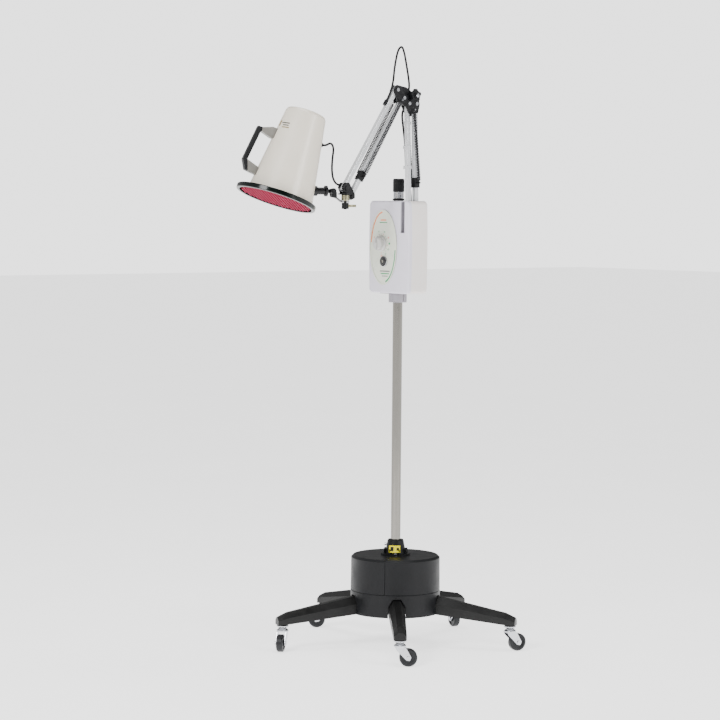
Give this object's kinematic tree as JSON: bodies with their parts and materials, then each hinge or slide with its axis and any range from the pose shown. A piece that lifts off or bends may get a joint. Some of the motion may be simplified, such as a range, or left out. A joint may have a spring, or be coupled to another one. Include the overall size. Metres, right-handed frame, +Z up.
{
  "type": "mobile treatment lamp",
  "caption": "Mobile red-light treatment lamp on a castor base: mast, control box, spring-balanced parallelogram arm and tapered head with handle.",
  "frame": {"origin": "mast axis at floor level", "axes": "+Z up along the mast, -Y out of the control panel, +X towards the arm's side of the box"},
  "size_m": [0.6818, 0.8974, 1.7165],
  "materials": {
    "cast_iron": "rough",
    "black_plastic": "fine texture",
    "leg_plastic": "fine texture",
    "gloss_black_tube": "gloss",
    "zinc_steel": "bright",
    "wheel_rubber": "satin",
    "box_lavender": "satin",
    "box_ivory": "satin",
    "panel_cream": "satin",
    "knob_grey": "satin",
    "switch_dark": "gloss",
    "steel_bracket": "brushed",
    "electrics": "matte",
    "white_tube": "gloss",
    "black_steel": "satin",
    "spring_steel": "drawn",
    "olive_zinc": "passivated",
    "cream_shell": "satin",
    "gloss_black": "gloss",
    "led_red": "lit",
    "handle_grey": "satin",
    "cable_black": "satin"
  },
  "bodies": {
    "base": {"hub_casting": "cast_iron", "skirt_ring": "black_plastic", "drum_cover_left": "black_plastic", "drum_cover_right": "black_plastic", "column_socket": "black_plastic", "base_screws": "zinc_steel", "leg_1": "leg_plastic", "leg_2": "leg_plastic", "leg_3": "leg_plastic", "leg_4": "leg_plastic", "leg_5": "leg_plastic", "caster_stems": "zinc_steel", "mast_tube": "gloss_black_tube", "mast_cap": "black_plastic", "mast_collar": "box_ivory"},
    "caster_1": {"caster_fork_1": "zinc_steel"},
    "wheel_1": {"caster_wheel_1": "wheel_rubber"},
    "caster_2": {"caster_fork_2": "zinc_steel"},
    "wheel_2": {"caster_wheel_2": "wheel_rubber"},
    "caster_3": {"caster_fork_3": "zinc_steel"},
    "wheel_3": {"caster_wheel_3": "wheel_rubber"},
    "caster_4": {"caster_fork_4": "zinc_steel"},
    "wheel_4": {"caster_wheel_4": "wheel_rubber"},
    "caster_5": {"caster_fork_5": "zinc_steel"},
    "wheel_5": {"caster_wheel_5": "wheel_rubber"},
    "control_box": {"box_front_shell": "box_lavender", "box_rear_shell": "box_ivory", "control_panel": "panel_cream", "switch_body": "switch_dark", "power_supply": "electrics", "mains_inlet": "switch_dark", "arm_bracket": "steel_bracket"},
    "timer": {"timer_knob": "knob_grey"},
    "switch": {"switch_button": "switch_dark"},
    "lower_front": {"lower_front_tube": "white_tube", "arm_cable": "cable_black"},
    "lower_rear": {"lower_rear_tube": "white_tube", "lower_spring_anchor": "black_plastic", "lower_springs": "spring_steel"},
    "elbow": {"elbow_plates": "black_steel", "elbow_pins": "zinc_steel", "loop_cable": "cable_black"},
    "elbow_clamp": {"elbow_knob": "black_plastic"},
    "upper_top": {"upper_top_tube": "white_tube", "cable_grommet": "black_plastic"},
    "upper_bottom": {"upper_bottom_tube": "white_tube", "upper_spring_anchor": "black_plastic", "upper_springs": "spring_steel"},
    "wrist": {"wrist_plates": "black_steel", "wrist_pins": "black_steel"},
    "swivel_clamp": {"swivel_knob": "black_plastic"},
    "link": {"link_bracket": "black_steel", "head_cable": "cable_black"},
    "tilt_clamp": {"tilt_knob": "black_plastic"},
    "head": {"head_boss": "black_steel", "head_shell": "cream_shell", "rim_ring": "gloss_black", "led_board": "led_red", "handle_arms": "handle_grey", "handle_grip": "black_plastic"}
  },
  "joints": [
    {"name": "caster_swivel_1", "type": "hinge", "parent": "base", "child": "caster_1", "pos_m": [0.27053, -0.20759, 0.06], "axis": [0, 0, 1], "continuous": true},
    {"name": "wheel_spin_1", "type": "hinge", "parent": "caster_1", "child": "wheel_1", "pos_m": [0.28469, -0.18946, 0.025], "axis": [-0.788, 0.6157, 0], "continuous": true},
    {"name": "caster_swivel_2", "type": "hinge", "parent": "base", "child": "caster_2", "pos_m": [0.28103, 0.19315, 0.06], "axis": [0, 0, 1], "continuous": true},
    {"name": "wheel_spin_2", "type": "hinge", "parent": "caster_2", "child": "wheel_2", "pos_m": [0.28698, 0.21536, 0.025], "axis": [-0.9659, 0.2588, 0], "continuous": true},
    {"name": "caster_swivel_3", "type": "hinge", "parent": "base", "child": "caster_3", "pos_m": [-0.09685, 0.32696, 0.06], "axis": [0, 0, 1], "continuous": true},
    {"name": "wheel_spin_3", "type": "hinge", "parent": "caster_3", "child": "wheel_3", "pos_m": [-0.11907, 0.33291, 0.025], "axis": [-0.2588, -0.9659, 0], "continuous": true},
    {"name": "caster_swivel_4", "type": "hinge", "parent": "base", "child": "caster_4", "pos_m": [-0.34088, 0.00893, 0.06], "axis": [0, 0, 1], "continuous": true},
    {"name": "wheel_spin_4", "type": "hinge", "parent": "caster_4", "child": "wheel_4", "pos_m": [-0.35504, -0.0092, 0.025], "axis": [0.788, -0.6157, 0], "continuous": true},
    {"name": "caster_swivel_5", "type": "hinge", "parent": "base", "child": "caster_5", "pos_m": [-0.11383, -0.32144, 0.06], "axis": [0, 0, 1], "continuous": true},
    {"name": "wheel_spin_5", "type": "hinge", "parent": "caster_5", "child": "wheel_5", "pos_m": [-0.09904, -0.33906, 0.025], "axis": [0.766, 0.6428, 0], "continuous": true},
    {"name": "box_swivel", "type": "hinge", "parent": "base", "child": "control_box", "pos_m": [0, 0, 1.15], "axis": [0, 0, 1], "range_deg": [-170, 170]},
    {"name": "timer_turn", "type": "hinge", "parent": "control_box", "child": "timer", "pos_m": [-0.031, -0.04, 1.158], "axis": [0, 1, 0], "range_deg": [0, 300]},
    {"name": "switch_press", "type": "slide", "parent": "control_box", "child": "switch", "axis": [0, 1, 0], "range_m": [0, 0.0015], "stiffness_N_per_m": 600, "springref_m": -0.002},
    {"name": "lower_arm_tilt", "type": "hinge", "parent": "control_box", "child": "lower_rear", "pos_m": [0.061, 0.0145, 1.17], "axis": [1, 0, 0], "range_deg": [-5, 31]},
    {"name": "lower_front_follow", "type": "hinge", "parent": "control_box", "child": "lower_front", "pos_m": [0.061, -0.0125, 1.17], "axis": [1, 0, 0], "range_deg": [-5, 31]},
    {"name": "elbow_level", "type": "hinge", "parent": "lower_rear", "child": "elbow", "pos_m": [0.061, 0.00442, 1.55487], "axis": [1, 0, 0], "range_deg": [-34, 5], "deforming": ["lower_springs"]},
    {"name": "elbow_clamp_turn", "type": "hinge", "parent": "elbow", "child": "elbow_clamp", "pos_m": [0.08, -0.009, 1.578], "axis": [1, 0, 0], "range_deg": [-180, 180]},
    {"name": "upper_arm_fold", "type": "hinge", "parent": "elbow", "child": "upper_top", "pos_m": [0.061, -0.0658, 1.592], "axis": [-1, 0, 0], "range_deg": [-12, 66], "deforming": ["loop_cable"]},
    {"name": "upper_bottom_follow", "type": "hinge", "parent": "elbow", "child": "upper_bottom", "pos_m": [0.061, -0.042, 1.57], "axis": [-1, 0, 0], "range_deg": [-12, 66], "deforming": ["upper_springs"]},
    {"name": "wrist_level", "type": "hinge", "parent": "upper_top", "child": "wrist", "pos_m": [0.061, -0.25167, 1.3133], "axis": [-1, 0, 0], "range_deg": [-66, 22]},
    {"name": "wrist_swivel", "type": "hinge", "parent": "wrist", "child": "link", "pos_m": [0.068, -0.25, 1.276], "axis": [0, 0, 1], "range_deg": [-45, 45], "deforming": ["head_cable"]},
    {"name": "swivel_clamp_turn", "type": "hinge", "parent": "wrist", "child": "swivel_clamp", "pos_m": [0.068, -0.25, 1.265], "axis": [0, 0, 1], "range_deg": [-120, 120]},
    {"name": "head_tilt", "type": "hinge", "parent": "link", "child": "head", "pos_m": [0.05432, -0.28759, 1.3056], "axis": [0.9397, -0.342, 0], "range_deg": [-20, 40]},
    {"name": "tilt_clamp_turn", "type": "hinge", "parent": "link", "child": "tilt_clamp", "pos_m": [0.05432, -0.28759, 1.3056], "axis": [0.9397, -0.342, 0], "range_deg": [-180, 180]}
  ],
  "couplings": [
    {"joint": "lower_front_follow", "follows": "lower_arm_tilt", "ratio": 1},
    {"joint": "elbow_level", "follows": "lower_arm_tilt", "ratio": -1},
    {"joint": "upper_bottom_follow", "follows": "upper_arm_fold", "ratio": 1},
    {"joint": "wrist_level", "follows": "upper_arm_fold", "ratio": -1}
  ]
}
